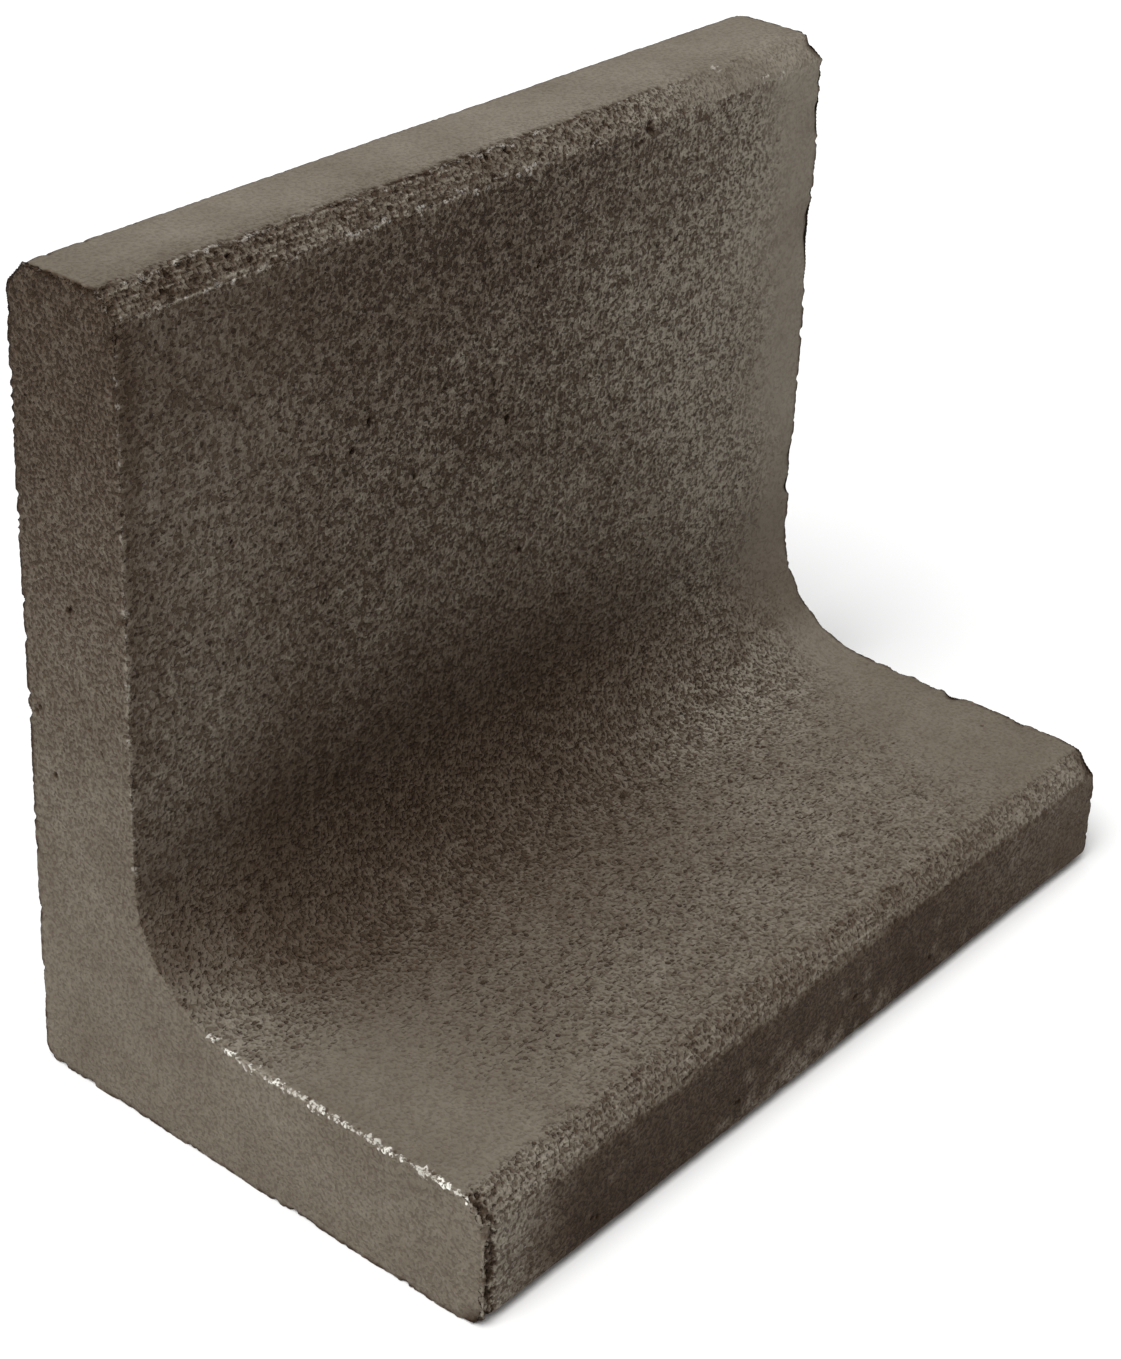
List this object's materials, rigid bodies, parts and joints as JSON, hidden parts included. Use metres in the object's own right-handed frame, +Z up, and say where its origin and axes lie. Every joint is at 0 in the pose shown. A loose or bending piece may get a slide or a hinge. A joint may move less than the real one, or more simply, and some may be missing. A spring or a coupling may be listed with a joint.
{
  "type": "precast concrete retaining unit",
  "caption": "L-shaped precast concrete retaining unit: an upright stem on a foot, with a rounded inner corner and chamfered arrises, cast around a bent wire mesh on plastic spacers.",
  "frame": {"origin": "middle of the bounding box, on the ground", "axes": "+X along the wall, +Y out of the stem's fair face, +Z up; the foot points to -Y"},
  "size_m": [0.475, 0.27, 0.4],
  "materials": {
    "concrete": "matt",
    "mesh_steel": "mill scale with light rust",
    "spacer_plastic": "moulded"
  },
  "bodies": {
    "root": {"concrete_body": "concrete", "main_wire_1": "mesh_steel", "main_wire_2": "mesh_steel", "main_wire_3": "mesh_steel", "main_wire_4": "mesh_steel", "main_wire_5": "mesh_steel", "stem_cross_wire_1": "mesh_steel", "stem_cross_wire_2": "mesh_steel", "stem_cross_wire_3": "mesh_steel", "stem_cross_wire_4": "mesh_steel", "stem_cross_wire_5": "mesh_steel", "foot_cross_wire_1": "mesh_steel", "foot_cross_wire_2": "mesh_steel", "foot_cross_wire_3": "mesh_steel", "lower_stem_spacer_left": "spacer_plastic", "lower_stem_spacer_right": "spacer_plastic", "upper_stem_spacer_left": "spacer_plastic", "upper_stem_spacer_right": "spacer_plastic", "foot_spacer_left": "spacer_plastic", "foot_spacer_right": "spacer_plastic"}
  },
  "joints": []
}
